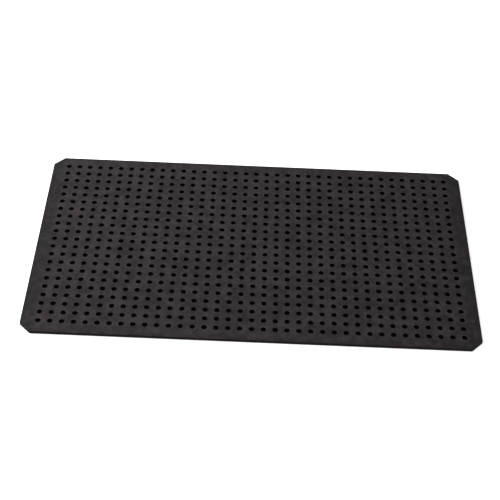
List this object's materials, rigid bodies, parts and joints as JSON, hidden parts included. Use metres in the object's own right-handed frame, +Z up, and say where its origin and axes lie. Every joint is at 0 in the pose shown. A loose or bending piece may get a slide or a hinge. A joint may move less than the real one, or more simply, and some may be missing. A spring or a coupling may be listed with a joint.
{
  "type": "seedling heat mat",
  "caption": "Thin rectangular heat mat with clipped corners and a grid of small round blind holes on top, set under a seed tray to warm it; flush power inlet in the back edge.",
  "frame": {"origin": "middle of the underside, on the surface that the mat lies on", "axes": "+X along the long side, +Y towards the back edge, which holds the power inlet, +Z up out of the perforated face"},
  "size_m": [0.4952, 0.2858, 0.0042],
  "materials": {
    "cover_plastic": "matte, finely textured, dark warm grey",
    "bottom_plastic": "matte, leather-grained",
    "seal_rubber": "matte",
    "plate": "satin, blank",
    "film": "bright metallised film",
    "foam": "fine closed-cell foam",
    "cable_jacket": "satin silicone",
    "tape_metal": "soft aluminium tape",
    "spreader_metal": "rolled sheet, satin",
    "inlet_plastic": "satin, black",
    "contact_metal": "bright",
    "lead_jacket": "satin",
    "cutout_case": "glossy resin",
    "splice_metal": "tinned",
    "sleeve": "shrunk sleeve, satin"
  },
  "bodies": {
    "root": {"perforated_cover": "cover_plastic", "bottom_cover": "bottom_plastic", "edge_seal": "seal_rubber", "rating_plate": "plate", "reflective_film": "film", "insulation_pad": "foam", "heating_cable": "cable_jacket", "fixing_tape_front": "tape_metal", "fixing_tape_middle": "tape_metal", "fixing_tape_back": "tape_metal", "heat_spreader": "spreader_metal", "inlet_housing": "inlet_plastic", "inlet_contact_left": "contact_metal", "inlet_contact_right": "contact_metal", "supply_lead_left": "lead_jacket", "supply_lead_right": "lead_jacket", "thermal_cutout": "cutout_case", "cutout_lead": "lead_jacket", "splice_barrel_left": "splice_metal", "splice_barrel_right": "splice_metal", "splice_sleeve_left": "sleeve", "splice_sleeve_right": "sleeve"}
  },
  "joints": []
}
